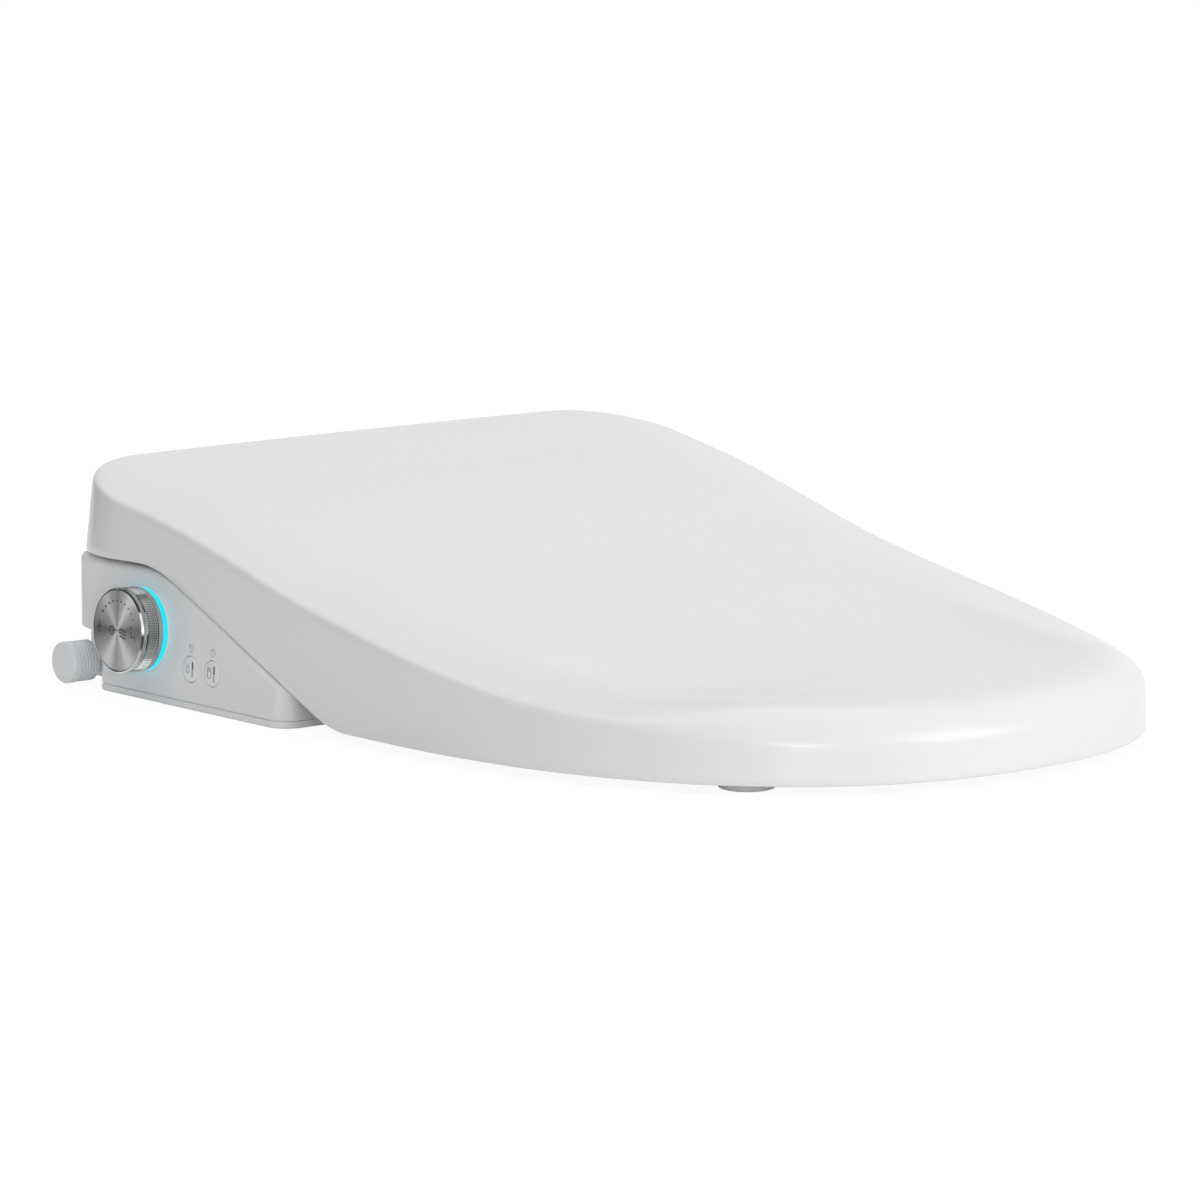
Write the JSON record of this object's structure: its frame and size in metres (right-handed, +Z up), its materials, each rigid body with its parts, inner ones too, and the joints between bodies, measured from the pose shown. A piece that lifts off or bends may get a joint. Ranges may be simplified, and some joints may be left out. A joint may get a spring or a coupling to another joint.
{
  "type": "electric bidet seat",
  "caption": "Electric bidet seat for an elongated bowl: full-cover lid, heated seat ring, side control panel with a lit turning knob, spray wands, dryer and water inlet.",
  "frame": {"origin": "midway between the two bowl bolt holes of the mounting bracket, on the plane of the bowl rim", "axes": "+X to the right seen from in front, +Y to the wall, +Z up; the control panel is on the -X side"},
  "size_m": [0.4032, 0.5308, 0.1119],
  "materials": {
    "lid_white": "gloss",
    "seat_white": "gloss",
    "housing_white": "satin",
    "base_white": "satin",
    "soft_grey_rubber": "matte",
    "spun_steel": "brushed",
    "polished_steel": "polished",
    "zinc_steel": "satin",
    "light_cyan": "lit",
    "button_white": "satin",
    "lens_clear": "gloss",
    "inlet_white": "satin",
    "board_green": "matte",
    "black_plastic": "matte",
    "inner_white": "matte",
    "hose_grey": "matte",
    "heater_foil": "matte",
    "heater_metal": "satin",
    "gear_plastic": "matte"
  },
  "bodies": {
    "unit": {"upper_housing": "housing_white", "base_plate": "base_white", "base_pads": "soft_grey_rubber", "housing_screws": "zinc_steel", "hinge_pins": "polished_steel", "lid_damper": "black_plastic", "seat_damper": "black_plastic", "mounting_bracket": "zinc_steel", "light_ring": "light_cyan", "ring_encoder": "black_plastic", "control_board": "board_green", "tact_switches": "black_plastic", "indicator_lenses": "lens_clear", "inlet_nipple": "inlet_white", "inlet_filter": "heater_metal", "inlet_valve": "inner_white", "valve_coil": "black_plastic", "inlet_hose": "hose_grey", "heater_tank": "inner_white", "tank_cover": "inner_white", "heating_element": "heater_metal", "tank_hose": "hose_grey", "diverter_valve": "inner_white", "diverter_motor": "heater_metal", "feed_tubes": "heater_metal", "nozzle_guide": "inner_white", "wand_motors": "heater_metal", "splash_hood": "inner_white", "fan_housing": "inner_white", "fan_motor": "black_plastic", "dryer_duct": "inner_white", "air_heater": "heater_foil", "dryer_grille": "inner_white", "main_board": "board_green", "power_module": "black_plastic", "cord_gland": "black_plastic", "presence_sensor": "black_plastic"},
    "seat": {"seat_top": "seat_white", "seat_bottom": "seat_white", "seat_heater": "heater_foil", "seat_hinge_arms": "seat_white", "seat_bumpers": "soft_grey_rubber"},
    "lid": {"lid": "lid_white", "lid_hinge_lugs": "lid_white", "lid_bumpers": "soft_grey_rubber"},
    "knob_ring": {"knob_ring": "spun_steel"},
    "knob_face": {"knob_face": "spun_steel", "knob_post": "black_plastic"},
    "water_button": {"water_temp_button": "button_white"},
    "seat_button": {"seat_temp_button": "button_white"},
    "release": {"release_button": "button_white", "release_latch": "inner_white"},
    "inlet_plug": {"inlet_plug": "inlet_white"},
    "wash_wand": {"wash_wand": "button_white"},
    "bidet_wand": {"bidet_wand": "button_white"},
    "wash_pinion": {"wash_pinion": "gear_plastic"},
    "bidet_pinion": {"bidet_pinion": "gear_plastic"},
    "fan_wheel": {"fan_wheel": "black_plastic"}
  },
  "joints": [
    {"name": "seat_hinge", "type": "hinge", "parent": "unit", "child": "seat", "pos_m": [0, 0.036, 0.084], "axis": [1, 0, 0], "range_deg": [-100, 0]},
    {"name": "lid_hinge", "type": "hinge", "parent": "seat", "child": "lid", "pos_m": [0, 0.036, 0.084], "axis": [-1, 0, 0], "range_deg": [0, 100]},
    {"name": "knob_turn", "type": "hinge", "parent": "unit", "child": "knob_ring", "pos_m": [-0.19061, -0.0265, 0.036], "axis": [-0.9986, 0, 0.0523], "continuous": true},
    {"name": "knob_press", "type": "slide", "parent": "unit", "child": "knob_face", "axis": [0.9986, 0, -0.0523], "range_m": [0, 0.0007], "stiffness_N_per_m": 400, "springref_m": -0.0005},
    {"name": "water_temp_press", "type": "slide", "parent": "unit", "child": "water_button", "axis": [0.9986, 0, -0.0523], "range_m": [0, 0.0007], "stiffness_N_per_m": 300, "springref_m": -0.0005},
    {"name": "seat_temp_press", "type": "slide", "parent": "unit", "child": "seat_button", "axis": [0.9986, 0, -0.0523], "range_m": [0, 0.0007], "stiffness_N_per_m": 300, "springref_m": -0.0005},
    {"name": "release_press", "type": "slide", "parent": "unit", "child": "release", "axis": [-1, 0, 0], "range_m": [0, 0.003], "stiffness_N_per_m": 400, "springref_m": -0.0005},
    {"name": "inlet_plug_pull", "type": "slide", "parent": "unit", "child": "inlet_plug", "axis": [-1, 0, 0], "range_m": [0, 0.02]},
    {"name": "wash_wand_slide", "type": "slide", "parent": "unit", "child": "wash_wand", "axis": [0, -0.9397, -0.342], "range_m": [0, 0.09]},
    {"name": "bidet_wand_slide", "type": "slide", "parent": "unit", "child": "bidet_wand", "axis": [0, -0.9397, -0.342], "range_m": [0, 0.09]},
    {"name": "wash_pinion_spin", "type": "hinge", "parent": "unit", "child": "wash_pinion", "pos_m": [-0.0266, -0.09709, 0.02116], "axis": [0, 0.342, -0.9397], "range_deg": [0, 860]},
    {"name": "bidet_pinion_spin", "type": "hinge", "parent": "unit", "child": "bidet_pinion", "pos_m": [0.0266, -0.09709, 0.02116], "axis": [0, 0.342, -0.9397], "range_deg": [-860, 0]},
    {"name": "fan_spin", "type": "hinge", "parent": "unit", "child": "fan_wheel", "pos_m": [0.09, -0.034, 0.03], "axis": [0, 0, 1], "continuous": true}
  ],
  "couplings": [
    {"joint": "wash_pinion_spin", "follows": "wash_wand_slide", "rad_per_m": 166.67},
    {"joint": "bidet_pinion_spin", "follows": "bidet_wand_slide", "rad_per_m": -166.67}
  ]
}
